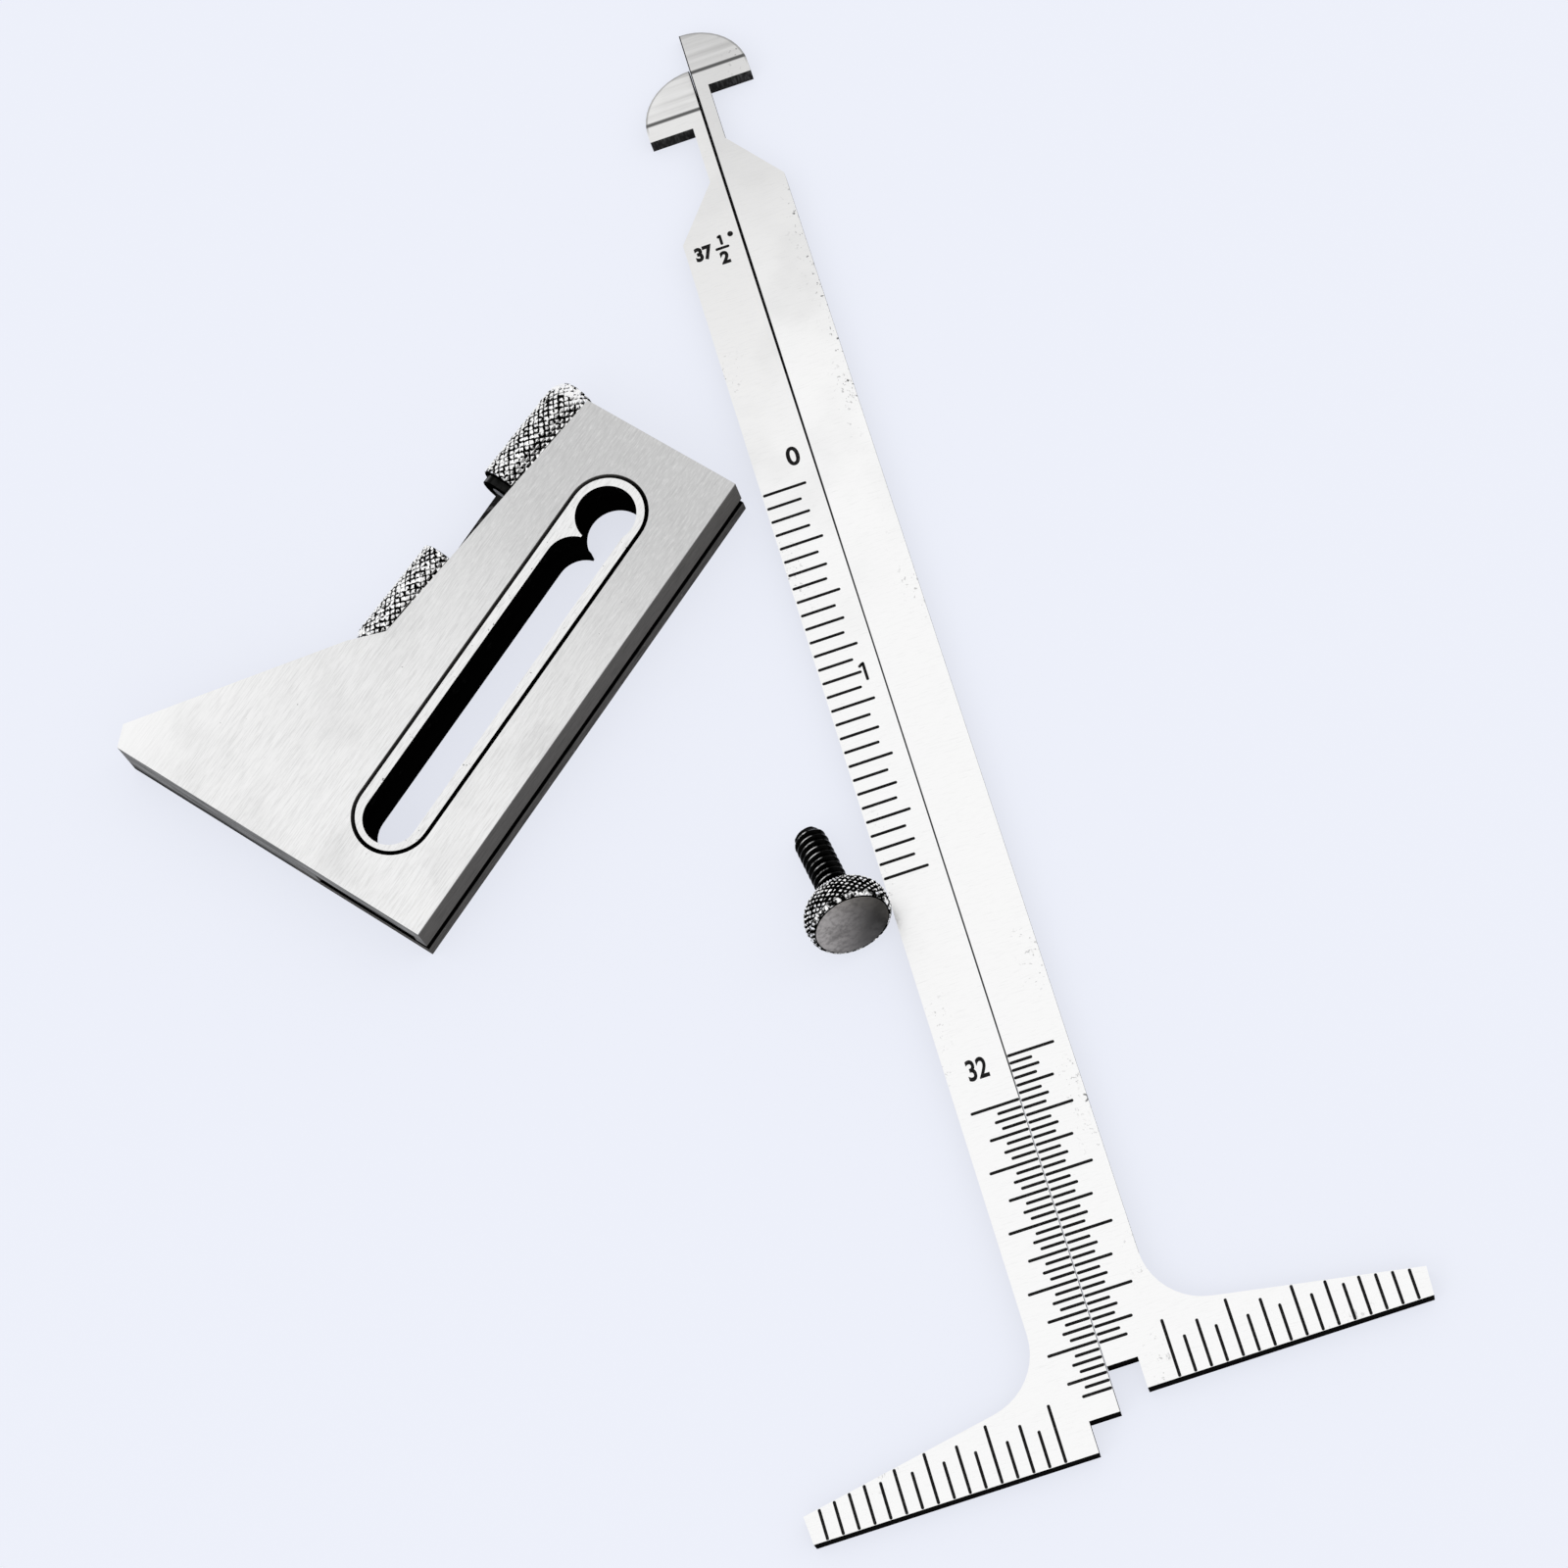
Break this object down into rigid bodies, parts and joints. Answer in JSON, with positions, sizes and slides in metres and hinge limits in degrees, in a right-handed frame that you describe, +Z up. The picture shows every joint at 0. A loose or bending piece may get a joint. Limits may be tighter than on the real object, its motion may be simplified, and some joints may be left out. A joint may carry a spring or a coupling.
{
  "type": "pipe misalignment gauge",
  "caption": "Pipe fit-up gauge laid out in pieces: two hooked, T-footed sliding half-blades, a windowed steel gauge block with knurled rollers, and a knurled thumb screw.",
  "frame": {"origin": "under the middle of the whole layout, on the surface that the pieces lie on", "axes": "+Y along the blades towards their hooks, +X across the blades to the right, +Z up out of the surface"},
  "size_m": [0.1092, 0.1624, 0.0098],
  "materials": {
    "blade_steel": "finely ground bright steel",
    "block_steel": "ground steel, lightly stained",
    "cover_steel": "ground steel",
    "frame_steel": "bright polished steel, dark bore",
    "blackened_steel": "black oxide",
    "knurled_steel": "knurled steel",
    "head_steel": "grey turned steel, knurled rim",
    "nylon": "natural nylon"
  },
  "bodies": {
    "left_half": {"left_blade": "blade_steel"},
    "right_half": {"right_blade": "blade_steel"},
    "block": {"gauge_block": "block_steel", "back_cover": "cover_steel", "cover_screws": "blackened_steel", "window_frame": "frame_steel", "friction_plugs": "nylon", "screw_bush": "blackened_steel", "upper_axle": "blackened_steel", "lower_axle": "blackened_steel"},
    "roller_a": {"upper_roller": "knurled_steel"},
    "roller_b": {"lower_roller": "knurled_steel"},
    "lock_screw": {"screw_stud": "blackened_steel", "screw_head": "head_steel"}
  },
  "joints": [
    {"name": "blade_slide", "type": "slide", "parent": "left_half", "child": "right_half", "axis": [0, 1, 0], "range_m": [-0.0355, 0.0264]},
    {"name": "block_lift", "type": "slide", "parent": "left_half", "child": "block", "axis": [0, 0, 1], "range_m": [0, 0.06]},
    {"name": "screw_lift", "type": "slide", "parent": "left_half", "child": "lock_screw", "axis": [0, 0, 1], "range_m": [0, 0.06]},
    {"name": "upper_roller_turn", "type": "hinge", "parent": "block", "child": "roller_a", "pos_m": [-0.0036, 0.03908, 0.00317], "axis": [0.8028, 0.5962, 0], "continuous": true},
    {"name": "lower_roller_turn", "type": "hinge", "parent": "block", "child": "roller_b", "pos_m": [-0.02175, 0.02561, 0.00317], "axis": [0.8028, 0.5962, 0], "continuous": true}
  ]
}
